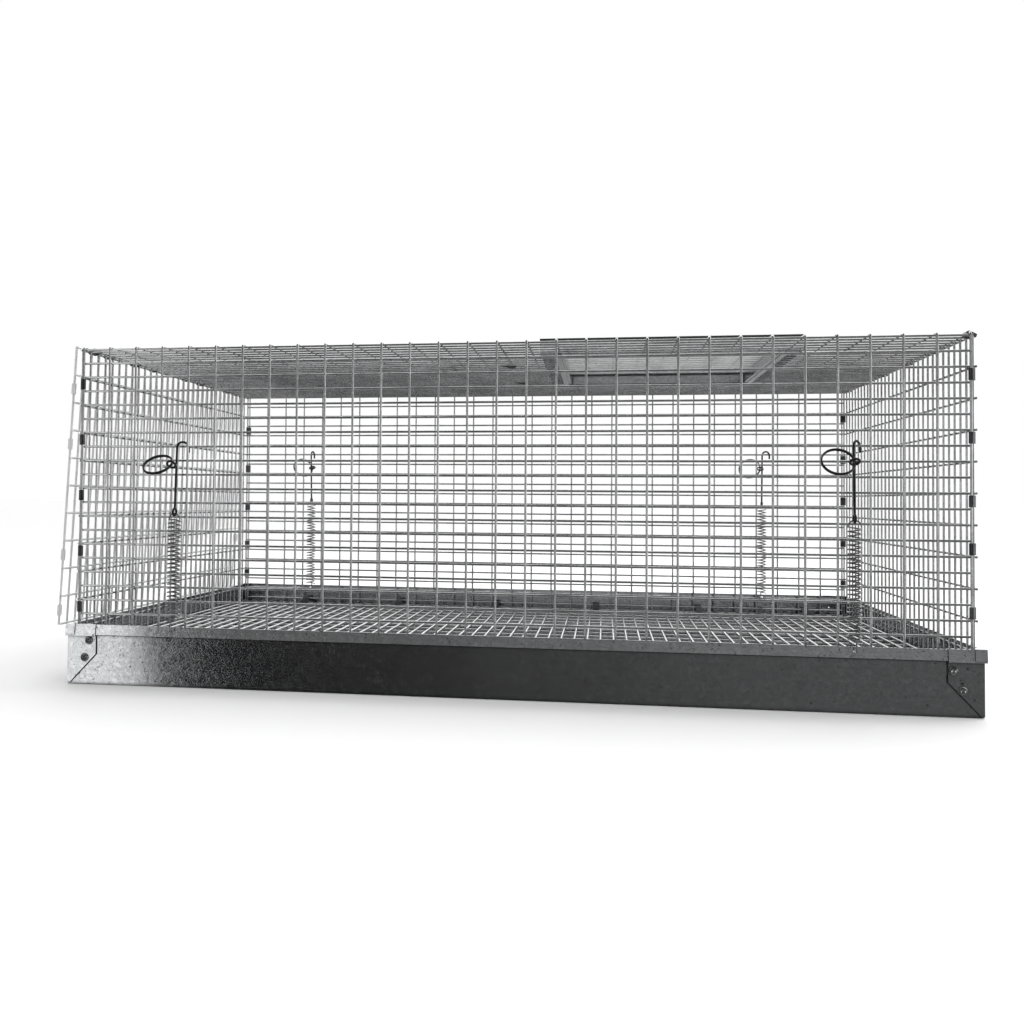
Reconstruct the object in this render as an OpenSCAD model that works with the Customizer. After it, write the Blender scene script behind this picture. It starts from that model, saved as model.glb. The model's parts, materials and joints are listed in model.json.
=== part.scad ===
// Wire kennel cage on a folded sheet-metal pan, for a small animal.
// Millimetres. +Z up. Origin: middle of the pan's footprint, on the surface it stands on.
// X is the long side, the front wall faces -Y.
// The wall, roof and floor meshes are welded wire on a 1 in x 1/2 in grid: in each
// panel one layer of wires lies on the other, so crossing wires are 0.02 mm clear
// at the default wire diameter.

/* [Mesh] */
// long cells along the width (1 in each)
cells_x = 30; // [28:1:32]
// half-inch cells from front to back
cells_y = 31; // [29:1:33]
// mesh wire diameter
wire_d = 2.0; // [1.6:0.1:2.05]

/* [Pan] */
// height of the pan's rim
pan_h = 53; // [50:1:56]
// depth of the hem folded outwards round the rim
hem_h = 9; // [8:0.5:10]
// sheet thickness
sheet = 0.8; // [0.6:0.1:0.8]

/* [Tie downs] */
// coils in each front spring
coils = 25; // [24:1:26]
// spring wire diameter
spring_wire = 1.3; // [1.1:0.1:1.3]
// outside diameter of the pull rings
ring_od = 27; // [25:0.5:27]

/* [Motion] */
// tilt of the folded handle where it leans on the next roof wire, degrees
handle_tilt = 14.5; // [14.2:0.1:20]
// outward lean of the outer end flap, degrees
flap_lean = 3; // [2.5:0.5:6]

/* [Which sub-part] */
// name of the sub-part to draw, or all

/* [Hidden] */

zinc = [0.72, 0.74, 0.76];
dark = [0.45, 0.47, 0.5];

inch = 25.4;
half_inch = inch/2;
wire_r = wire_d/2;
layer = 2.02;                        // distance between the two wire layers
width = cells_x*inch;                // between the outer ribs
depth = cells_y*half_inch + 2*layer; // between the front and back ribs
mid_x = width/2;
mid_y = depth/2;
top_z = 303;                         // height of the top front rail

// Cage coordinates: x from the left outer rib, y from the front ribs, z from the ground.
// Rails are counted down from the top front rail, and back from the front wall's rails.
function wall_rail_z(j) = top_z - j*half_inch;
function roof_rail_y(k) = layer + k*half_inch;

// shared shapes --------------------------------------------------------
module bar(r, h) cylinder(r = r, h = h, $fn = 24);

// straight wires along each axis, placed in cage coordinates
module wire_x(x0, x1, y, z, r = wire_r)
  translate([x0 - mid_x, y - mid_y, z]) rotate([0, 90, 0]) bar(r, x1 - x0);
module wire_y(y0, y1, x, z)
  translate([x - mid_x, y0 - mid_y, z]) rotate([-90, 0, 0]) bar(wire_r, y1 - y0);
module wire_z(z0, z1, x, y) translate([x - mid_x, y - mid_y, z0]) bar(wire_r, z1 - z0);

// round wire bent to a mean radius
module arc(radius, r, angle = 360, fn = 48)
  rotate_extrude(angle = angle, $fn = fn) translate([radius, 0]) circle(r = r, $fn = 24);

// box between two opposite corners
module box(low, high) translate(low) cube(high - low);

// plate and rectangular frame; a rectangle is [[x0, y0], [x1, y1]] in cage coordinates
function grow(rect, dx, dy) = [rect[0] - [dx, dy], rect[1] + [dx, dy]];
module plate(rect, z0, z1)
  box(concat(rect[0] - [mid_x, mid_y], z0), concat(rect[1] - [mid_x, mid_y], z1));
module frame(opening, z0, z1, t) difference() {
  plate(grow(opening, t, t), z0, z1);
  plate(opening, z0 - 1, z1 + 1);
}

// the part with its left-right mirror image
module and_mirrored() {
  children();
  mirror([1, 0, 0]) children();
}
// the part with a copy turned half way round
module and_opposite() {
  children();
  rotate([0, 0, 180]) children();
}

// clips: flat band bent into an oval ring round two wires
clip_gap = 0.06;                     // between a wire and its clip
clip_w = 9.5;                        // band of the corner, roof edge and flap edge clips
narrow_clip_w = 8;                   // band of the floor and flap hinge clips
module oval(length, r) {
  circle(r = r, $fn = 32);
  translate([length, 0]) circle(r = r, $fn = 32);
  translate([0, -r]) square([length, 2*r]);
}
// second_wire is the second wire's place from the first
module clip(second_wire, band = clip_w, t = 0.8, r = wire_r)
  rotate([0, 0, atan2(second_wire.y, second_wire.x)])
    linear_extrude(band, center = true) difference() {
      union() oval(norm(second_wire), r + clip_gap + t);
      oval(norm(second_wire), r + clip_gap);
    }

// cage meshes ----------------------------------------------------------
foot_z = 0.85;                       // lower ends of the wall wires
last_rail = 23;                      // lowest rail of the front and back walls
end_upright_x = -2.1;                // left end's uprights
end_cross_x = end_upright_x - layer; // left end's crosswires
floor_z = 32.5;                      // upper wires of the floor
floor_cross_z = floor_z - layer;
floor_cross_y = mid_y - 7.5*inch;    // frontmost of the 16 floor crosswires

// wall run: vertical ribs outside, half-inch rails inside, ribs bent over the top rail
module wall_run() {
  for (i = [0:cells_x]) {
    wire_z(foot_z, top_z, i*inch, 0);
    translate([i*inch - mid_x, layer - mid_y, top_z]) rotate([90, 0, 90])
      rotate([0, 0, 90]) arc(layer, wire_r, 90);
  }
  for (j = [0:last_rail]) wire_x(-wire_r, width + wire_r, layer, wall_rail_z(j));
}
module front_mesh() color(zinc) wall_run();
module back_mesh() color(zinc) rotate([0, 0, 180]) wall_run();

// roof run: ribs above, rails below, both cut clear of the door collar
module roof_mesh() color(zinc) {
  rib_y0 = layer + 0.05;
  rib_y1 = depth - layer - 0.05;
  rib_z = top_z + layer;
  hole = grow(opening, collar_t + 0.2, collar_t + 0.2);
  for (i = [0:cells_x]) {
    x = i*inch;
    if (x > opening[0].x - wire_r && x < opening[1].x + wire_r) {
      wire_y(rib_y0, hole[0].y, x, rib_z);
      wire_y(hole[1].y, rib_y1, x, rib_z);
    } else wire_y(rib_y0, rib_y1, x, rib_z);
  }
  for (k = [1:cells_y - 1]) {
    y = roof_rail_y(k);
    if (y > opening[0].y - wire_r && y < opening[1].y + wire_r) {
      wire_x(-wire_r, hole[0].x, y, top_z);
      wire_x(hole[1].x, width + wire_r, y, top_z);
    } else wire_x(-wire_r, width + wire_r, y, top_z);
  }
}

// end panel: half-inch uprights inside, one-inch crosswires outside
module end_run() {
  for (k = [0:cells_y]) wire_z(foot_z, top_z + 0.9, end_upright_x, roof_rail_y(k));
  for (j = [0:2:22])
    wire_y(layer - wire_r, depth - layer + wire_r, end_cross_x, wall_rail_z(j));
}
module left_end_mesh() color(zinc) end_run();
module right_end_mesh() color(zinc) rotate([0, 0, 180]) end_run();

// floor: half-inch wires front to back, carried by one-inch crosswires
module floor_mesh() color(zinc) {
  for (i = [0:2*cells_x]) wire_y(3.3, depth - 3.3, i*half_inch, floor_z);
  for (n = [0:15]) wire_x(-0.9, width + 0.9, floor_cross_y + n*inch, floor_cross_z);
}

// mesh clips, placed by rail number ------------------------------------
// round the left outer front rib and the end panel's first upright
module corner_clip_column(rails)
  for (j = rails)
    translate([-mid_x, -mid_y, wall_rail_z(j)]) clip([end_upright_x, layer]);
module corner_clips() color(dark) {
  corner_clip_column([2.5, 6.5, 10.5, 14.5, 18.5]);
  mirror([1, 0, 0]) corner_clip_column([2.5, 6.5, 10.5, 13.5, 17.5]);
  mirror([0, 1, 0]) corner_clip_column([3.5, 7.5, 11.5, 15.5, 18.5]);
  rotate([0, 0, 180]) corner_clip_column([2.5, 6.5, 10.5, 14.5, 18.5]);
}

// round the left end's top crosswire and the outer roof rib
module roof_edge_clip_row(rails)
  for (k = rails)
    translate([end_cross_x - mid_x, roof_rail_y(k) - mid_y, top_z])
      rotate([90, 0, 0]) clip([-end_cross_x, layer]);
module roof_edge_clips() color(dark) {
  roof_edge_clip_row([1.5, 7.5, 13.5, 19.5, 25.5, 29.5]);
  mirror([1, 0, 0]) roof_edge_clip_row([0.5, 6.5, 12.5, 18.5, 24.5, 29.5]);
}

// round a wall rail and the outermost floor crosswire
module floor_clips() color(dark) {
  rail_z = wall_rail_z(21);
  for (i = [3:10:53]) and_opposite()
    translate([(i + 0.5)*half_inch - mid_x, layer - mid_y, rail_z])
      rotate([90, 0, 90])
        clip([floor_cross_y - layer, floor_cross_z - rail_z], narrow_clip_w);
}

// pan ------------------------------------------------------------------
hem_x = width/2 + 8;                 // half width of the pan over its hems
hem_y = depth/2 + 8.9;               // half depth of the pan over its hems
wall_x = hem_x - 2*sheet;            // outer face of the end walls
wall_y = hem_y - 2*sheet;            // outer face of the front and back walls
tab_x = wall_x - 27;                 // inner edge of the corner tabs on front and back
lap_x = hem_x - 9;                   // inner edge of the end hems lapped on the front
// rivets on the front: x from the middle, height; the back has the same turned round
rivet_places = [
  [-hem_x + 22.2, 39], [-hem_x + 18.2, 23.6],
  [hem_x - 25, 36], [hem_x - 18, 20.5]];

// sloping hem leaf along a side: y is its outer face at the lower edge,
// run is how far it leans in towards the rim
module hem_leaf(x0, x1, y, z0, z1, run = 1, t = sheet)
  translate([x0, 0, 0]) rotate([90, 0, 90]) linear_extrude(x1 - x0)
    polygon([[y, z0], [y + t, z0], [y + run + t, z1], [y + run, z1]]);

module pan_front() {
  // wall, hem leaf standing off at its lower edge, and fold
  box([-wall_x, -wall_y, 0], [wall_x, -wall_y + sheet, pan_h]);
  hem_leaf(-wall_x, wall_x, -hem_y - 0.1, pan_h - hem_h, pan_h);
  box([-wall_x, -hem_y + 0.9, pan_h - sheet], [wall_x, -wall_y + sheet, pan_h]);
  and_mirrored() {
    // tab on the face, then its own hem wrapped over the rim
    translate([0, -wall_y, 0]) rotate([90, 0, 0]) linear_extrude(sheet)
      polygon([[wall_x, 1], [wall_x, pan_h], [tab_x, pan_h], [tab_x, 27], [wall_x - 2.4, 1]]);
    hem_leaf(tab_x, hem_x, -hem_y - 0.95, pan_h - hem_h - 1, pan_h + 0.4,
      run = 1.1, t = sheet + 0.1);
    box([tab_x, -hem_y + 0.15, pan_h], [hem_x, -wall_y + sheet, pan_h + 0.4]);
    // end wall's hem, lapped round the corner
    hem_leaf(lap_x, hem_x, -hem_y - 1.45, pan_h - hem_h + 0.4, pan_h + 0.7, t = 0.8);
    box([lap_x, -hem_y - 0.45, pan_h + 0.3], [hem_x - 0.3, -hem_y + 7, pan_h + 0.7]);
  }
}

// left end: wall, hem leaf and fold
module pan_end() {
  box([-wall_x, -wall_y, 0], [-wall_x + sheet, wall_y, pan_h]);
  rotate([0, 0, -90]) hem_leaf(-hem_y, hem_y, -hem_x - 0.1, pan_h - hem_h, pan_h);
  box([-hem_x + 0.9, -hem_y, pan_h - sheet], [-wall_x + sheet, hem_y, pan_h]);
}

module at_rivets()
  and_opposite() for (p = rivet_places) translate([p.x, 0, p.y]) children();

module pan_shell() color(zinc) difference() {
  union() {
    box([-wall_x, -wall_y, 0], [wall_x, wall_y, sheet]);
    and_opposite() pan_front();
    and_opposite() pan_end();
  }
  // holes for the spring hooks
  for (tie = [front_left, front_right, back_left, back_right])
    translate([tie_x(tie) - mid_x, tie_side(tie)*(hem_y + 3), tie_hole_z])
      rotate([tie_side(tie)*90, 0, 0]) bar(1.6, 8);
  at_rivets() translate([0, -hem_y - 3, 0]) rotate([-90, 0, 0]) bar(1.65, 8);
}

// hollow blind rivet: dished head outside, upset tail inside
// columns: radius, distance out from the tab's face
module rivet() translate([0, -wall_y - sheet, 0]) rotate([90, 0, 0]) rotate_extrude($fn = 36)
  polygon([
    [0.7, -3.2], [1.9, -3.2], [2.2, -2.6], [2.2, -2*sheet - 0.05],
    [1.6, -2*sheet - 0.05], [1.6, 0.05], [3.6, 0.05], [3.5, 0.6], [2.9, 1.25],
    [1.9, 1.55], [1.25, 1.2], [1.05, 0.4], [1.05, -1], [0.7, -1.4]]);
module corner_rivets() color(dark) at_rivets() rivet();

// roof door ------------------------------------------------------------
opening = [[436, 81], [626.5, 270.5]];
collar_t = 0.8;
collar_z = top_z - 1.9;              // underside of the collar's flange
lid = [[413.2, 66], [649.3, 288]];
lid_z0 = top_z + 3.3;
lid_z1 = top_z + 14.5;
lid_t = 0.6;
pin_x0 = 461;                        // hinge pin between its heads
pin_x1 = 601.7;
pin_y = roof_rail_y(23);
pin_z = top_z + 8;
pin_r = 1.5;
pin_head = 1;                        // length of each head

module door_collar() color(zinc) {
  frame(opening, collar_z, top_z + 6.6, collar_t);
  // flange under the cut wires, with a stiffening bead
  frame(opening, collar_z, collar_z + collar_t, 8.6);
  frame(grow(opening, 3.4, 3.4), collar_z - 0.5, collar_z + 0.2, 1.8);
}

module hinge_pin() color(dark) {
  wire_x(pin_x0, pin_x1, pin_y, pin_z, pin_r);
  for (x = [pin_x0 - pin_head, pin_x1]) wire_x(x, x + pin_head, pin_y, pin_z, 2.4);
}

// bands round the pin and the roof rail below it
module hinge_straps() color(zinc)
  for (x = [469.9, 592.8])
    translate([x - mid_x, pin_y - mid_y, top_z]) rotate([90, 0, 90])
      clip([0, pin_z - top_z], band = 12, r = pin_r);

// hinge knuckle round the pin, with a leaf forward to the lid
module knuckle(x) {
  bore = pin_r + 0.06;
  leaf = pin_y - lid[1].y + 0.4;
  translate([x - mid_x, pin_y - mid_y, pin_z]) rotate([90, 0, 90])
    linear_extrude(20) difference() {
      union() {
        circle(r = bore + 0.8, $fn = 36);
        translate([-leaf, bore]) square([leaf, 0.8]);
      }
      circle(r = bore, $fn = 36);
    }
}

module door_frame() color(zinc) difference() {
  union() {
    // skirt and top
    frame(grow(lid, -lid_t, -lid_t), lid_z0, lid_z1, lid_t);
    difference() {
      plate(lid, lid_z1 - lid_t, lid_z1);
      plate(grow(opening, 4, 4), lid_z1 - 2, lid_z1 + 2);
    }
    for (x = [478, 564.8]) knuckle(x);
  }
  // pressed groove round the top
  frame(grow(opening, 10, 8), lid_z1 - 0.25, lid_z1 + 1, 1.8);
  // hole for the latch stud
  translate([latch_x - mid_x, lid[0].y - mid_y - 1, latch_z]) rotate([-90, 0, 0]) bar(1.3, 3);
}

// mesh under the lid's top, with the wires along y uppermost
module door_mesh() color(zinc) {
  z = lid_z1 - lid_t - 0.08 - wire_r;
  for (i = [0:8]) wire_y(lid[0].y + 1, lid[1].y - 1, 430.65 + i*inch, z);
  for (k = [0:16])
    wire_x(lid[0].x + 1, lid[1].x - 1, lid[0].y + 5.5 + k*half_inch, z - layer);
}

// latch, on the front of the lid's skirt -------------------------------
latch_x = 439.4;
latch_z = top_z + 8.7;
stand_off = 6;                       // of the hook from the skirt

// places a part on the stud's axis, its +Z pointing out of the skirt
module on_latch(out = 0)
  translate([latch_x - mid_x, lid[0].y - mid_y - out, latch_z]) rotate([90, 0, 0]) children();

// shouldered stud: tail behind the skirt, running shoulder for the hook, flat head
// columns: radius, distance out from the skirt
module latch_stud() color(dark) on_latch() rotate_extrude($fn = 36)
  polygon([
    [0, -1.4], [2.2, -1.4], [2.2, -lid_t - 0.02], [1.28, -lid_t - 0.02],
    [1.28, 0.02], [2.4, 0.02], [2.4, stand_off - 0.1], [1.5, stand_off - 0.1],
    [1.5, stand_off + 2.1], [2.7, stand_off + 2.1], [2.7, stand_off + 2.7],
    [2.2, stand_off + 3.1], [0, stand_off + 3.1]]);

// flat hook: hub, arm, finger that lies concentric with the stud, thumb tab
module latch_hook() color(dark) on_latch(stand_off) linear_extrude(2) difference() {
  union() {
    circle(r = 3.4, $fn = 36);
    rotate([0, 0, 203]) translate([0, -1.5]) square([12.8, 3]);
    intersection() {
      difference() {
        circle(r = 13.8, $fn = 72);
        circle(r = 11.7, $fn = 72);
      }
      rotate([0, 0, 202]) polygon([[0, 0], [30, 0], [30*cos(46), 30*sin(46)]]);
    }
    rotate([0, 0, -8]) translate([0, -2]) square([13, 4]);
  }
  circle(r = 1.55, $fn = 36);
}

// carry handle, folded to the left on a roof rib -----------------------
handle_r = 2;                        // radius of its rod
handle_y0 = roof_rail_y(10.5);
handle_y1 = roof_rail_y(20.5);
handle_len = 66;
handle_bend = 8;

module carry_handle() color(dark)
  translate([15*inch - mid_x, -mid_y, top_z + layer]) rotate([0, handle_tilt, 0]) {
    eye_r = wire_r + 0.06 + handle_r;
    arm = handle_len - handle_bend;
    for (y = [handle_y0, handle_y1]) translate([0, y, 0]) {
      // eye round the roof rib, open on the left above the arm
      rotate([90, 0, 0]) rotate([0, 0, -90]) arc(eye_r, handle_r, 235);
      translate([-arm, 0, -eye_r]) rotate([0, 90, 0]) bar(handle_r, arm);
    }
    // rounded corners: y of the bend's middle, turn
    for (corner = [[handle_y0 + handle_bend, 180], [handle_y1 - handle_bend, 90]])
      translate([-arm, corner[0], -eye_r]) rotate([0, 0, corner[1]])
        arc(handle_bend, handle_r, 90);
    // grip
    translate([-handle_len, handle_y0 + handle_bend, -eye_r]) rotate([-90, 0, 0])
      bar(handle_r, handle_y1 - handle_y0 - 2*handle_bend);
  }

// outer end flap, hung outside the left end ----------------------------
flap_x = -6.7;                       // its top crosswire, which is the hinge
flap_z = top_z + 2.2;
flap_cells = 10;                     // one-inch cells down the flap

module flap_place()
  translate([flap_x - mid_x, -mid_y, flap_z]) rotate([0, flap_lean, 0]) children();

// crosswires, with the uprights outside them
module end_flap() color(zinc) flap_place() {
  for (n = [0:flap_cells]) translate([0, layer - wire_r, -n*inch]) rotate([-90, 0, 0])
    bar(wire_r, depth - 2*layer + 2*wire_r);
  for (k = [0:cells_y]) translate([-layer, roof_rail_y(k), -flap_cells*inch - wire_r])
    bar(wire_r, flap_cells*inch + 2*wire_r);
}

// oval bands on the front and back uprights: upright number, angle of the band
module flap_edge_clips() color(dark) flap_place()
  for (edge = [[0, -62], [cells_y, 62]]) for (n = [1.5, 3.5, 7.5, 9.5])
    translate([-layer, roof_rail_y(edge[0]), -n*inch])
      clip(2.6*[cos(edge[1]), sin(edge[1])]);

// hinge clips: band round the flap's top wire and the end panel's top wire
module flap_hinge_clips() color(dark)
  for (k = [3.5, 10.5, 16.5, 22.5, 27.5])
    translate([end_cross_x - mid_x, roof_rail_y(k) - mid_y, top_z]) rotate([90, 0, 0])
      clip([flap_x - end_cross_x, flap_z - top_z], narrow_clip_w, t = 0.7);

// tie downs ------------------------------------------------------------
tie_y = mid_y + 7.2;                 // distance of the spring axes from the middle
tie_hole_z = 49.2;                   // holes in the hem
back_coils = coils + 4;              // the back springs reach one rail higher
front_rail = wall_rail_z(7);
back_rail = wall_rail_z(6);
// x from the left outer rib, side (-1 front, 1 back), coils, foot of the coils,
// rail hooked over, slope of the pull ring, height of the side eye before the rod leans
front_left = [93.6, -1, coils, 59.4, front_rail, 40, 196.9];
front_right = [671.6, -1, coils, 59.4, front_rail, 53, 200.2];
back_left = [85, 1, back_coils, 55.4, back_rail, 60, 209.5];
back_right = [668, 1, back_coils, 55.4, back_rail, 60, 209.5];
function tie_x(tie) = tie[0];
function tie_side(tie) = tie[1];
function tie_coils(tie) = tie[2];
function tie_foot(tie) = tie[3];
function tie_rail(tie) = tie[4];
function tie_slope(tie) = tie[5];
function tie_side_eye(tie) = tie[6];

coil_r = 5.2;                        // mean coil radius
coil_pitch = 3.6;                    // as stretched
coil_tip = asin(coil_pitch/4/coil_r);
loop_r = coil_r*cos(coil_tip);       // mean radius of the spring's upper loop
loop_wire_r = spring_wire/2 - 0.02;
leg_wire_r = spring_wire/2 - 0.03;
leg_bend = 1.6;
rod_r = 1;
rod_lean = 3.07;                     // inwards, degrees
rod_eye_r = 3.2;                     // mean radius of the lower eye
rod_eye_drop = 1.15;                 // underside of the loop to the eye's wire
rod_hook_r = 5.6;
side_eye_r = 3.6;
side_eye_out = 7.6;                  // side eye's distance out from its rod
side_eye_left = 1.2;                 // side eye's offset to the left of its rod
ring_r = ring_od/2 - 0.8;

// middle of the upper loop, then of the rod's lower eye
function loop_z(tie) = tie_foot(tie) + tie_coils(tie)*coil_pitch - coil_pitch/4;
function eye_z(tie) = loop_z(tie) + loop_r - loop_wire_r - rod_eye_drop + rod_eye_r;
// side eye's distance up the rod
function side_eye_up(tie) = tie_side_eye(tie) - eye_z(tie);

// half a coil, tipped so that successive halves climb like a helix
module half_coil(tip, turn)
  rotate([0, tip, 0]) rotate([0, 0, turn]) arc(coil_r, spring_wire/2, 180);

module spring(tie)
  translate([tie_x(tie) - mid_x, tie_side(tie)*tie_y, 0])
    rotate([0, 0, tie_side(tie) < 0 ? 0 : 180]) {
      for (k = [0:tie_coils(tie) - 1]) {
        z = tie_foot(tie) + coil_pitch*k;
        translate([0, 0, z]) half_coil(-coil_tip, 180);
        translate([0, 0, z + coil_pitch/2]) half_coil(coil_tip, 0);
      }
      // upper loop, with the bend that leads into it
      translate([-loop_r, 0, loop_z(tie)]) sphere(r = spring_wire/2 + 0.06, $fn = 24);
      translate([0, 0, loop_z(tie)]) rotate([90, 0, 0]) arc(loop_r, loop_wire_r, 180);
      // lower leg and hook through the hem
      leg_z = tie_hole_z + leg_bend;
      translate([0, -coil_r, leg_z]) bar(leg_wire_r, tie_foot(tie) - leg_z);
      translate([0, -coil_r + leg_bend, leg_z]) rotate([90, 0, 90]) rotate([0, 0, 180])
        arc(leg_bend, leg_wire_r, 90, fn = 36);
      translate([0, -coil_r + leg_bend, tie_hole_z]) rotate([-90, 0, 0]) bar(leg_wire_r, 3.2);
    }

// a part modelled at the front, mirrored for the back ties
module on_side(tie)
  if (tie_side(tie) > 0) mirror([0, 1, 0]) children();
  else children();

// pull rod: lower eye on the spring, shank, side eye for the ring, hook over a rail
module pull_rod(tie) on_side(tie)
  translate([tie_x(tie) - mid_x, -tie_y, eye_z(tie)]) rotate([-rod_lean, 0, 0]) {
    rotate([0, 90, 0]) arc(rod_eye_r, rod_r - 0.05);
    shank_top = (tie_rail(tie) - 1.5 - eye_z(tie))/cos(rod_lean);
    translate([0, 0, rod_eye_r]) bar(rod_r, shank_top - rod_eye_r);
    translate([0, 0, shank_top]) rotate([0, 0, 50]) translate([rod_hook_r, 0, 0]) {
      rotate([90, 0, 0]) arc(rod_hook_r, rod_r, 180);
      translate([rod_hook_r, 0, -3.5]) bar(rod_r, 3.5);
    }
    // side eye, on a short arm to its right-hand edge
    arm_x = side_eye_r - side_eye_left;
    translate([0, 0, side_eye_up(tie)]) {
      rotate([90, 0, atan2(arm_x, side_eye_out)]) translate([0, 0, 0.4])
        bar(rod_r - 0.08, norm([side_eye_out, arm_x]) - 0.4);
      translate([-side_eye_left, -side_eye_out, 0]) rotate([tie_slope(tie) + rod_lean, 0, 0])
        rotate([90, 0, 0]) arc(side_eye_r, rod_r - 0.02);
    }
  }

// split ring through the side eye: two turns lying on each other
module pull_ring(tie) {
  up = side_eye_up(tie);
  eye = [
    tie_x(tie) - mid_x - side_eye_left,
    -tie_y + up*sin(rod_lean) - side_eye_out*cos(rod_lean),
    eye_z(tie) + up*cos(rod_lean) + side_eye_out*sin(rod_lean)];
  on_side(tie) translate(eye) rotate([tie_slope(tie), 0, 0]) translate([-ring_r, 0, 0])
    rotate_extrude($fn = 72) union() {
      for (z = [0.62, -0.62]) translate([ring_r, z]) circle(r = 0.7, $fn = 24);
    }
}

module spring_front_left() color(dark) spring(front_left);
module spring_front_right() color(dark) spring(front_right);
module spring_back_left() color(dark) spring(back_left);
module spring_back_right() color(dark) spring(back_right);
module pull_rod_front_left() color(dark) pull_rod(front_left);
module pull_rod_front_right() color(dark) pull_rod(front_right);
module pull_rod_back_left() color(dark) pull_rod(back_left);
module pull_rod_back_right() color(dark) pull_rod(back_right);
module pull_ring_front_left() color(dark) pull_ring(front_left);
module pull_ring_front_right() color(dark) pull_ring(front_right);
module pull_ring_back_left() color(dark) pull_ring(back_left);
module pull_ring_back_right() color(dark) pull_ring(back_right);

pan_shell();
corner_rivets();
front_mesh();
back_mesh();
roof_mesh();
left_end_mesh();
right_end_mesh();
floor_mesh();
corner_clips();
roof_edge_clips();
floor_clips();
door_collar();
hinge_pin();
hinge_straps();
door_frame();
door_mesh();
latch_stud();
latch_hook();
carry_handle();
end_flap();
flap_edge_clips();
flap_hinge_clips();
spring_front_left();
spring_front_right();
spring_back_left();
spring_back_right();
pull_rod_front_left();
pull_rod_front_right();
pull_rod_back_left();
pull_rod_back_right();
pull_ring_front_left();
pull_ring_front_right();
pull_ring_back_left();
pull_ring_back_right();
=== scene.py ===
"""Galvanised wire cage in a sheet pan: a lid in the roof, a flap on the left end, four springs.

Metres, +Z up. The cage is centred on X and Y, its length along X, its front towards -Y
and the left end towards -X.
"""

import json
import math
import random

import bmesh
import bpy
from mathutils import Matrix, Vector


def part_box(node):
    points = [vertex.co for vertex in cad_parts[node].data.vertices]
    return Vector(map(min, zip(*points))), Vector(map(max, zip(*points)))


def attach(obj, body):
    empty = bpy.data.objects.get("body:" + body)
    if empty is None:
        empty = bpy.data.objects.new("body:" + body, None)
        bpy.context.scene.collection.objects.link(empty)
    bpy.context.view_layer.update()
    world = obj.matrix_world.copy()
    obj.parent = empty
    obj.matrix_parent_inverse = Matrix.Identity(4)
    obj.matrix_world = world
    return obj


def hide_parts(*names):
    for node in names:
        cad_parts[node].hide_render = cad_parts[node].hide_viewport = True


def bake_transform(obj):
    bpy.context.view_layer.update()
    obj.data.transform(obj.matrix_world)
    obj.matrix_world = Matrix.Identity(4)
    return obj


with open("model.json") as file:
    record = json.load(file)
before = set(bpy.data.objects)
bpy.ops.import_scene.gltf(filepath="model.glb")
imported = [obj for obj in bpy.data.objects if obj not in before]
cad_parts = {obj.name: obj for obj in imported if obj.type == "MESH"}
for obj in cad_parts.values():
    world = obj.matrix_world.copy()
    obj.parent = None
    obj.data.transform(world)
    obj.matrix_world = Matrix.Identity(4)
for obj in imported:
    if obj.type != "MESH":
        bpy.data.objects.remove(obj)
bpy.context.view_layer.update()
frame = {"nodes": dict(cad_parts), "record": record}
scene = bpy.context.scene

# ------------------------------------------------------------------ cage sizes
INCH = 0.0254
HALF_INCH = INCH / 2
COLUMNS = 30                  # inch spaces along X
ROWS = 31                     # half-inch spaces along Y
LAYER = 0.00202               # between the centres of two crossing wires
LENGTH = COLUMNS * INCH
DEPTH = ROWS * HALF_INCH + 2 * LAYER
HALF_X, HALF_Y = LENGTH / 2, DEPTH / 2
ROOF_Z = 0.303


# ------------------------------------------------------------------ node graphs
class Graph:
    """Builds the nodes of a material or a world."""

    def __init__(self, owner):
        owner.use_nodes = True
        self.tree = owner.node_tree
        self.tree.nodes.clear()

    def feed(self, socket, value):
        """Link an output to a socket, or set it; a colour may be a grey number or three."""
        if isinstance(value, bpy.types.NodeSocket):
            self.tree.links.new(value, socket)
            return
        if socket.type == "RGBA":
            value = (*value, 1) if isinstance(value, tuple) else (value, value, value, 1)
        socket.default_value = value

    def node(self, kind, inputs=None, **settings):
        node = self.tree.nodes.new(kind)
        for key, value in settings.items():
            setattr(node, key, value)
        for key, value in (inputs or {}).items():
            self.feed(node.inputs[key], value)
        return node

    def math(self, operation, a, b):
        return self.node("ShaderNodeMath", {0: a, 1: b}, operation=operation).outputs[0]


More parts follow.
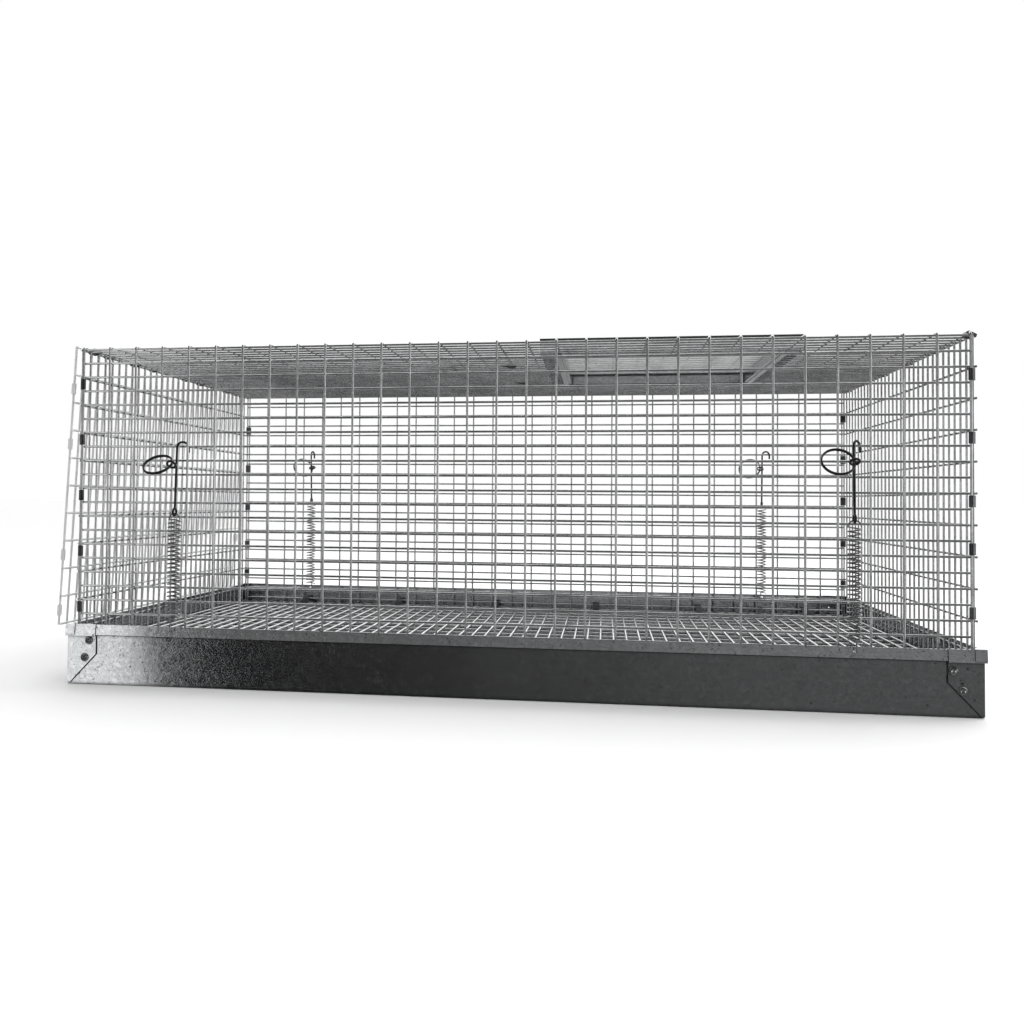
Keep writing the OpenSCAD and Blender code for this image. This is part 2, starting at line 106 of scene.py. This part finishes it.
class Material(Graph):
    """A Principled material textured in object coordinates."""

    def __init__(self, name):
        self.material = bpy.data.materials.new(name)
        super().__init__(self.material)
        output = self.node("ShaderNodeOutputMaterial")
        self.shader = self.node("ShaderNodeBsdfPrincipled")
        self.feed(output.inputs[0], self.shader.outputs[0])

    def coordinates(self):
        return self.node("ShaderNodeTexCoord").outputs["Object"]

    def noise(self, vector, scale, detail=4.0, rough=0.55, distort=0.0):
        return self.node("ShaderNodeTexNoise", {
            "Scale": scale, "Detail": detail, "Roughness": rough,
            "Distortion": distort, "Vector": vector}).outputs[0]

    def voronoi(self, vector, scale):
        return self.node("ShaderNodeTexVoronoi", {"Scale": scale, "Vector": vector})

    def channels(self, colour):
        return self.node("ShaderNodeSeparateColor", {0: colour}).outputs

    def ramp(self, source, stops):
        """Stops are (position, grey or colour)."""
        node = self.node("ShaderNodeValToRGB", {0: source})
        elements = node.color_ramp.elements
        while len(elements) < len(stops):
            elements.new(0.5)
        for element, (position, tone) in zip(elements, stops):
            element.position = position
            element.color = (*tone, 1) if isinstance(tone, tuple) else (tone, tone, tone, 1)
        return node.outputs[0]

    def multiply(self, colour, by, amount=1.0):
        # On a colour Mix node, socket 0 is the factor and 6 and 7 are the two colours.
        return self.node("ShaderNodeMix", {0: amount, 6: colour, 7: by},
                         data_type="RGBA", blend_type="MULTIPLY").outputs[2]

    def bump(self, height, strength, distance, below=None):
        inputs = {"Strength": strength, "Distance": distance, "Height": height}
        if below is not None:
            inputs["Normal"] = below
        return self.node("ShaderNodeBump", inputs).outputs[0]

    def finish(self, **values):
        """Feed the shader's inputs, with _ for a space, and return the material."""
        for key, value in values.items():
            self.feed(self.shader.inputs[key.replace("_", " ")], value)
        return self.material


# ------------------------------------------------------------------ materials
def sheet_material(name, light, rough):
    """Galvanised sheet: crystal spangle, faint blooms, rolling streaks, pits, painted shade in
    seams.
    """
    m = Material(name)
    place = m.coordinates()

    # Shift the lookup a little so that the crystal edges wander.
    wander = m.node("ShaderNodeTexNoise", {"Scale": 160, "Vector": place}).outputs["Color"]
    shift = m.node("ShaderNodeVectorMath", {"Scale": 0.004, 0: wander}, operation="SCALE")
    warped = m.node("ShaderNodeVectorMath", {0: place, 1: shift.outputs[0]},
                    operation="ADD").outputs[0]
    large = m.channels(m.voronoi(warped, scale=330).outputs["Color"])
    small = m.channels(m.voronoi(warped, scale=760).outputs["Color"])
    spangle = m.ramp(large[0], [(0.0, 0.47), (0.5, 0.5), (0.85, 0.525), (1.0, 0.56)])
    fine = m.ramp(small[1], [(0.0, 0.94), (0.7, 1.0), (1.0, 1.06)])
    colour = m.multiply(spangle, by=fine)

    bloom = m.ramp(m.noise(place, scale=8, detail=5, rough=0.6),
                   [(0.34, 0.9), (0.5, 0.98), (0.66, 1.05)])
    colour = m.multiply(colour, by=bloom)

    # Squeezed along Z, the noise runs in level streaks.
    squeezed = m.node("ShaderNodeMapping", {"Scale": (2, 2, 70), "Vector": place}).outputs[0]
    streak = m.ramp(m.noise(squeezed, scale=7, detail=3, rough=0.5), [(0.35, 0.9), (0.6, 1.04)])
    colour = m.multiply(colour, by=streak, amount=0.35)

    pits = m.ramp(m.noise(place, scale=380, detail=2, rough=0.5, distort=1.6),
                  [(0.655, 1.0), (0.69, 0.22)])
    colour = m.multiply(colour, by=pits, amount=0.85)

    # Ambient occlusion darkens the colour in seams and creases: painted shade.
    hollow = m.node("ShaderNodeAmbientOcclusion", {"Distance": 0.004}, samples=6)
    crease_shade = m.ramp(hollow.outputs["AO"], [(0.45, 0.03), (0.9, 1.0)])
    colour = m.multiply(colour, by=crease_shade)
    cool_tint = (0.965 * light, 0.985 * light, 1.0 * light)
    colour = m.multiply(colour, by=cool_tint)

    # Roughness varies from crystal to crystal and in broad patches.
    crystal_rough = m.math("ADD", m.math("MULTIPLY", large[1], 0.05), rough)
    patch_rough = m.math("MULTIPLY", m.noise(place, scale=16, detail=5, rough=0.6), 0.05)

    normal = m.bump(large[2], strength=0.06, distance=0.0002)
    normal = m.bump(small[0], strength=0.08, distance=0.00012, below=normal)
    normal = m.bump(pits, strength=0.3, distance=0.0001, below=normal)
    return m.finish(Base_Color=colour, Metallic=0.99, Normal=normal,
                    Roughness=m.math("ADD", crystal_rough, patch_rough))


def wire_material(name, dark, bright, rough, metal, lump, scale):
    """Zinc-coated wire: patchy tone, small lumps of zinc, dull and bright lengths."""
    m = Material(name)
    place = m.coordinates()
    patches = m.noise(place, scale=38 * scale, detail=4, rough=0.6)
    grain = m.noise(place, scale=420 * scale, detail=3, rough=0.6)
    blend = m.math("ADD", m.math("MULTIPLY", patches, 0.6), m.math("MULTIPLY", grain, 0.4))
    middle = tuple((a + b) / 2 for a, b in zip(dark, bright))
    colour = m.ramp(blend, [(0.34, dark), (0.5, middle), (0.64, bright)])
    pits = m.ramp(m.voronoi(place, scale=700 * scale).outputs["Distance"],
                  [(0.0, 0.55), (0.16, 1.0)])
    lumps = m.noise(place, scale=260 * scale, detail=3, rough=0.6)
    return m.finish(
        Base_Color=m.multiply(colour, by=pits, amount=0.5),
        Metallic=metal,
        # The grain adds up to 0.3; 0.12 is taken off to keep near the given roughness.
        Roughness=m.math("ADD", m.math("MULTIPLY", grain, 0.3), rough - 0.12),
        Normal=m.bump(lumps, strength=lump, distance=0.0006))


def seam_shadow_material():
    # Near-black material for the strips along the pan's seams: painted shadow lines.
    m = Material("painted_seam_shadow")
    specks = m.noise(m.coordinates(), scale=300, detail=4, rough=0.6)
    return m.finish(Base_Color=m.ramp(specks, [(0.35, 0.004), (0.65, 0.03)]),
                    Roughness=0.9, Specular_IOR_Level=0.15)


# name, dark tone, bright tone, roughness, metallic, lump strength, texture scale
WIRES = [
    ("galvanised_wire", (0.5, 0.502, 0.506), (0.84, 0.845, 0.85), 0.13, 1.0, 0.06, 1.0),
    ("flap_wire", (0.76, 0.763, 0.768), (0.93, 0.933, 0.938), 0.4, 0.5, 0.2, 1.0),
    ("door_wire", (0.62, 0.622, 0.626), (0.88, 0.885, 0.89), 0.3, 0.55, 0.12, 1.0),
    ("weld", (0.03, 0.03, 0.032), (0.12, 0.12, 0.122), 0.5, 0.8, 0.5, 1.5),
    ("clip_steel", (0.03, 0.03, 0.032), (0.16, 0.16, 0.165), 0.34, 0.9, 0.3, 1.0),
    ("rivet_steel", (0.3, 0.303, 0.306), (0.6, 0.605, 0.61), 0.2, 1.0, 0.1, 1.0),
    ("spring_steel", (0.2, 0.202, 0.205), (0.52, 0.525, 0.53), 0.18, 1.0, 0.08, 1.0),
    ("dark_wire", (0.012, 0.012, 0.013), (0.06, 0.06, 0.062), 0.34, 0.8, 0.2, 1.0),
    ("handle_wire", (0.05, 0.05, 0.052), (0.16, 0.162, 0.165), 0.34, 0.88, 0.25, 1.0),
]
materials = {
    "galvanised_sheet": sheet_material("galvanised_sheet", light=1.05, rough=0.045),
    "door_sheet": sheet_material("door_sheet", light=0.9, rough=0.14),
}
for row in WIRES:
    materials[row[0]] = wire_material(*row)

# Pieces that look different from the rest of their slot.
OWN_LOOK = {
    "door_frame": "door_sheet", "door_collar": "door_sheet", "hinge_straps": "door_sheet",
    "end_flap": "flap_wire", "flap_edge_clips": "flap_wire",
    "door_mesh": "door_wire",
}
slots = {part["node"]: part["material_slot"] for part in frame["record"]["subparts"]}
for name, piece in frame["nodes"].items():
    piece.data.materials.clear()
    piece.data.materials.append(materials[OWN_LOOK.get(name, slots[name])])


def add_object(name, data):
    added = bpy.data.objects.new(name, data)
    scene.collection.objects.link(added)
    return added


def add_piece(name, mesh, material, body):
    """A smooth extra piece that moves with a body."""
    mesh.shade_smooth()
    mesh.materials.append(material)
    piece = add_object(name, mesh)
    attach(piece, body)


# ------------------------------------------------------------------ welds at the wire crossings
NUGGET_RADIUS = 0.00086       # across the wires
NUGGET_HEIGHT = 0.00112       # half height, along the stack of wires
NUGGET_SWELL = 1.12
NUGGET_DRIFT = 0.00016        # greatest random shift on each axis

rng = random.Random(7)
ball = bmesh.new()
bmesh.ops.create_icosphere(ball, subdivisions=1, radius=1.0)
BALL_POINTS = [v.co.copy() for v in ball.verts]
BALL_FACES = [[v.index for v in face.verts] for face in ball.faces]
ball.free()


def welds(name, points, axis, body="cage"):
    """Squashed nuggets, one at each point; the wires are stacked along axis."""
    verts, faces = [], []
    for point in points:
        size = NUGGET_RADIUS * (0.92 + 0.2 * rng.random())
        radii = Vector((size, size, size))
        radii[axis] = NUGGET_HEIGHT
        drift = Vector([rng.uniform(-1, 1) for _ in range(3)]) * NUGGET_DRIFT
        first = len(verts)
        verts += [v * radii * NUGGET_SWELL + point + drift for v in BALL_POINTS]
        faces += [[first + i for i in face] for face in BALL_FACES]
    mesh = bpy.data.meshes.new(name)
    mesh.from_pydata(verts, [], faces)
    add_piece(name, mesh, materials["weld"], body)


def mirrored(points, axis):
    flip = Vector((1, 1, 1))
    flip[axis] = -1
    return [point * flip for point in points]


def row_y(k):
    return LAYER + k * HALF_INCH - HALF_Y


def level_z(j):
    return ROOF_Z - j * HALF_INCH


OPENING_X = 0.436 - HALF_X, 0.6265 - HALF_X     # hole in the roof
OPENING_Y = 0.081 - HALF_Y, 0.2705 - HALF_Y
OPENING_MARGIN = 0.002
END_OUTSET = 0.0021           # end mesh beyond the end of the cage
FLOOR_Z = 0.0325
FLOOR_WIRES = 16              # an inch apart in Y
LID_X, LID_Y = 0.43065, 0.0715                  # first lid crossing, from the left and front
LID_Z = ROOF_Z + 0.01282
FLAP_TOP = Vector((-0.0067 - HALF_X, 0, ROOF_Z + 0.0022))
FLAP_LEAN = Matrix.Rotation(math.radians(3), 4, "Y")


def in_opening(x, y):
    return (OPENING_X[0] - OPENING_MARGIN < x < OPENING_X[1] + OPENING_MARGIN
            and OPENING_Y[0] - OPENING_MARGIN < y < OPENING_Y[1] + OPENING_MARGIN)


front = [Vector((i * INCH - HALF_X, LAYER / 2 - HALF_Y, level_z(j)))
         for i in range(COLUMNS + 1) for j in range(24)]
welds("front_welds", front, axis=1)
welds("back_welds", mirrored(front, axis=1), axis=1)

welds("roof_welds", [
    Vector((i * INCH - HALF_X, row_y(k), ROOF_Z + LAYER / 2))
    for i in range(COLUMNS + 1) for k in range(1, ROWS)
    if not in_opening(i * INCH - HALF_X, row_y(k))], axis=2)

left_end = [Vector((-END_OUTSET - LAYER / 2 - HALF_X, row_y(k), level_z(j)))
            for k in range(ROWS + 1) for j in range(0, 23, 2)]
welds("left_end_welds", left_end, axis=0)
welds("right_end_welds", mirrored(left_end, axis=0), axis=0)

welds("floor_welds", [
    Vector((i * HALF_INCH - HALF_X, (n - (FLOOR_WIRES - 1) / 2) * INCH, FLOOR_Z - LAYER / 2))
    for i in range(2 * COLUMNS + 1) for n in range(FLOOR_WIRES)], axis=2)

welds("door_welds", [
    Vector((LID_X + i * INCH - HALF_X, LID_Y + k * HALF_INCH - HALF_Y, LID_Z - LAYER / 2))
    for i in range(9) for k in range(17)], axis=2, body="lid")

welds("flap_welds", [
    FLAP_LEAN @ Vector((-LAYER / 2, row_y(k), -n * INCH)) + FLAP_TOP
    for k in range(ROWS + 1) for n in range(11)], axis=0, body="flap")

# ------------------------------------------------------------------ springs
SPRING_CUT = 0.030            # the split between the two parts, below the top


def spring_part(name, suffix, upper, cut):
    """The coils of one spring above or below the height cut."""
    source = frame["nodes"][name]
    part = add_object("drawn_" + name + suffix, source.data.copy())
    part.matrix_world = source.matrix_world.copy()
    bm = bmesh.new()
    bm.from_mesh(part.data)
    other_side = [face for face in bm.faces
                  if ((source.matrix_world @ face.calc_center_median()).z > cut) != upper]
    bmesh.ops.delete(bm, geom=other_side, context="FACES")
    bm.to_mesh(part.data)
    bm.free()
    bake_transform(part)
    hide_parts(name)


for corner in ("front_left", "front_right", "back_left", "back_right"):
    name = "spring_" + corner
    low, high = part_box(name)
    cut = high[2] - SPRING_CUT
    spring_part(name, "_low", False, cut)
    spring_part(name, "_top", True, cut)

# ------------------------------------------------------------------ painted shadow lines in the pan's seams
SHEET = 0.0008
WALL_X = LENGTH / 2 + 0.008 - 2 * SHEET
WALL_Y = DEPTH / 2 + 0.0089 - 2 * SHEET
SHADOW_LIFT = 0.0004
SHADOW_STEP = 0.003
SHADOW_INSET = 0.00035         # from the sheet edge towards the middle of the pan


def seam_shadow_ridge(bm, start, end, width, side):
    """A low ridge between two (x, z) points on a pan wall; side is -1 for the front."""
    (x0, z0), (x1, z1) = start, end
    along = Vector((x1 - x0, 0, z1 - z0))
    along.normalize()
    across = Vector((-along.z, 0, along.x))
    lift = Vector((0, side * SHADOW_LIFT, 0))
    steps = max(2, int(math.hypot(x1 - x0, z1 - z0) / SHADOW_STEP))
    rows = []
    for step in range(steps + 1):
        t = step / steps
        w = width * (0.8 + 0.4 * rng.random())
        point = Vector((x0 + (x1 - x0) * t, side * WALL_Y, z0 + (z1 - z0) * t))
        rows.append([bm.verts.new(p) for p in
                     (point - across * w / 2, point + lift, point + across * w / 2)])
    for a, b in zip(rows, rows[1:]):
        bm.faces.new((a[0], b[0], b[1], a[1]))
        bm.faces.new((a[1], b[1], b[2], a[2]))


# Near-black strips along the tab edges and under the hem of each long wall: painted shadow
# lines.
def painted_seam_shadow():
    material = seam_shadow_material()
    bm = bmesh.new()
    upright_x = WALL_X - 0.027 - SHADOW_INSET
    foot_x = WALL_X - 0.0024 - 1.4 * SHADOW_INSET
    level_x = WALL_X - 0.028
    for side in (-1, 1):
        for end in (-1, 1):
            # An upright near the end of the wall, then a slope down and out to the corner.
            top = (end * upright_x, 0.0435)
            bend = (end * upright_x, 0.027 - SHADOW_INSET)
            foot = (end * foot_x, 0.0012)
            seam_shadow_ridge(bm, top, bend, width=0.0017, side=side)
            seam_shadow_ridge(bm, bend, foot, width=0.0011, side=side)
        # A level strip under the hem: a painted shadow line.
        seam_shadow_ridge(bm, (-level_x, 0.0437), (level_x, 0.0437), width=0.0009, side=side)
    mesh = bpy.data.meshes.new("painted_seam_shadow")
    bm.to_mesh(mesh)
    bm.free()
    add_piece("painted_seam_shadow", mesh, material, "pan")


painted_seam_shadow()


# ------------------------------------------------------------------ floor, world, light, camera
def studio_floor():
    material = Material("studio_floor").finish(
        Base_Color=(0.93, 0.93, 0.93), Roughness=0.75, Specular_IOR_Level=0.2)
    bm = bmesh.new()
    bmesh.ops.create_grid(bm, x_segments=1, y_segments=1, size=40.0)
    mesh = bpy.data.meshes.new("studio_floor")
    bm.to_mesh(mesh)
    bm.free()
    mesh.materials.append(material)
    ground = add_object("studio_floor", mesh)
    ground.location = (0, 0, -0.0006)
    ground.visible_glossy = False


def room_brightness(g):
    """A dim room in front, a window left of the front, lit walls right and behind, a ceiling."""
    def fade(source, span, to=(0.0, 1.0)):
        """Smooth change between two values while source crosses the span."""
        return g.node("ShaderNodeMapRange", {
            "From Min": span[0], "From Max": span[1], "To Min": to[0], "To Max": to[1],
            0: source}, interpolation_type="SMOOTHSTEP").outputs[0]

    def both(a, b):
        return g.math("MULTIPLY", a, b)

    def add(a, b):
        return g.math("ADD", a, b)

    out = (1.0, 0.0)
    direction = g.node("ShaderNodeTexCoord").outputs["Generated"]
    x, y, z = g.node("ShaderNodeSeparateXYZ", {0: direction}).outputs
    # Radians, 0 straight in front of the cage (-Y) and positive to the right (+X).
    azimuth = g.math("ARCTAN2", x, both(y, -1.0))

    window = both(fade(azimuth, (-0.76, -0.70)), fade(azimuth, (-0.505, -0.475), out))
    window = both(window, both(fade(z, (0.20, 0.40), out), fade(z, (-0.60, -0.45))))
    right = both(fade(azimuth, (1.15, 1.30)), fade(azimuth, (1.9, 2.05), out))
    right = both(right, fade(z, (-0.34, -0.22)))
    back = add(fade(azimuth, (2.1, 2.3)), fade(azimuth, (-2.4, -2.2), out))
    back = both(back, add(fade(z, (-0.01, 0.05), (0.0, 0.78)),
                          fade(z, (-0.42, -0.34), (0.0, 0.22))))
    ceiling = both(fade(z, (0.50, 0.68)), fade(y, (-0.12, 0.12), (0.12, 1.0)))
    lit = g.math("MAXIMUM", g.math("MAXIMUM", right, back), ceiling)

    # The dim part is darkest to the left and above eye level.
    dim = fade(azimuth, (-0.40, 0.30), (0.022, 0.125))
    dim = add(dim, fade(z, (-0.12, -0.02), (0.0, 0.18)))
    above = fade(z, (0.07, 0.14))
    dim = both(dim, g.math("SUBTRACT", 1.0, both(above, 0.85)))
    ground = fade(z, (-0.55, -0.30), (0.10, 0.0))

    lit_strength, window_strength = 1.45, 1.5
    return add(add(add(both(lit, lit_strength), both(window, window_strength)), dim), ground)


def studio_world():
    """The room shows only in reflections; the camera and matt surfaces see even white."""
    scene.world = bpy.data.worlds.new("studio")
    g = Graph(scene.world)
    white = g.node("ShaderNodeBackground", {"Color": 1, "Strength": 1.0})
    room = g.node("ShaderNodeBackground", {"Color": 1, "Strength": room_brightness(g)})
    ray = g.node("ShaderNodeLightPath").outputs
    sees_white = g.math("MAXIMUM", ray["Is Camera Ray"], ray["Is Diffuse Ray"])
    mixed = g.node("ShaderNodeMixShader",
                   {0: sees_white, 1: room.outputs[0], 2: white.outputs[0]})
    g.node("ShaderNodeOutputWorld", {0: mixed.outputs[0]})


def area_light(name, location, aim, size, power):
    light = bpy.data.lights.new(name, "AREA")
    light.shape = "RECTANGLE"
    light.size, light.size_y = size
    light.energy = power
    lamp = add_object(name, light)
    lamp.location = location
    lamp.rotation_mode = "QUATERNION"
    lamp.rotation_quaternion = (Vector(aim) - Vector(location)).to_track_quat("-Z", "Y")
    lamp.visible_glossy = False


def camera(place, yaw, pitch, roll, lens, shift):
    """Looks along +Y; yaw turns it to the left and pitch tips it up, in radians."""
    data = bpy.data.cameras.new("camera")
    data.sensor_width = 36
    data.lens = lens
    data.shift_x, data.shift_y = shift
    data.clip_start, data.clip_end = 0.01, 200
    forward = Vector((-math.sin(yaw) * math.cos(pitch), math.cos(yaw) * math.cos(pitch),
                      math.sin(pitch)))
    level = Vector((math.cos(yaw), math.sin(yaw), 0))
    upright = level.cross(forward)
    right = math.cos(roll) * level + math.sin(roll) * upright
    up = -math.sin(roll) * level + math.cos(roll) * upright
    turn = Matrix((right, up, -forward)).transposed().to_4x4()
    viewer = add_object("camera", data)
    viewer.matrix_world = Matrix.Translation(place) @ turn
    scene.camera = viewer


studio_floor()
studio_world()
area_light("key", location=(0.9, 0.6, 1.9), aim=(0, 0, 0.1), size=(1.6, 1.2), power=22)
camera(place=(18.57 * INCH - HALF_X, -30.53 * INCH - HALF_Y, ROOF_Z - 5.34 * INCH),
       yaw=0.1425, pitch=0.0213, roll=0.0076,
       lens=32.07796875, shift=(0.03890625, -0.030234375))
scene.view_settings.view_transform = "Standard"
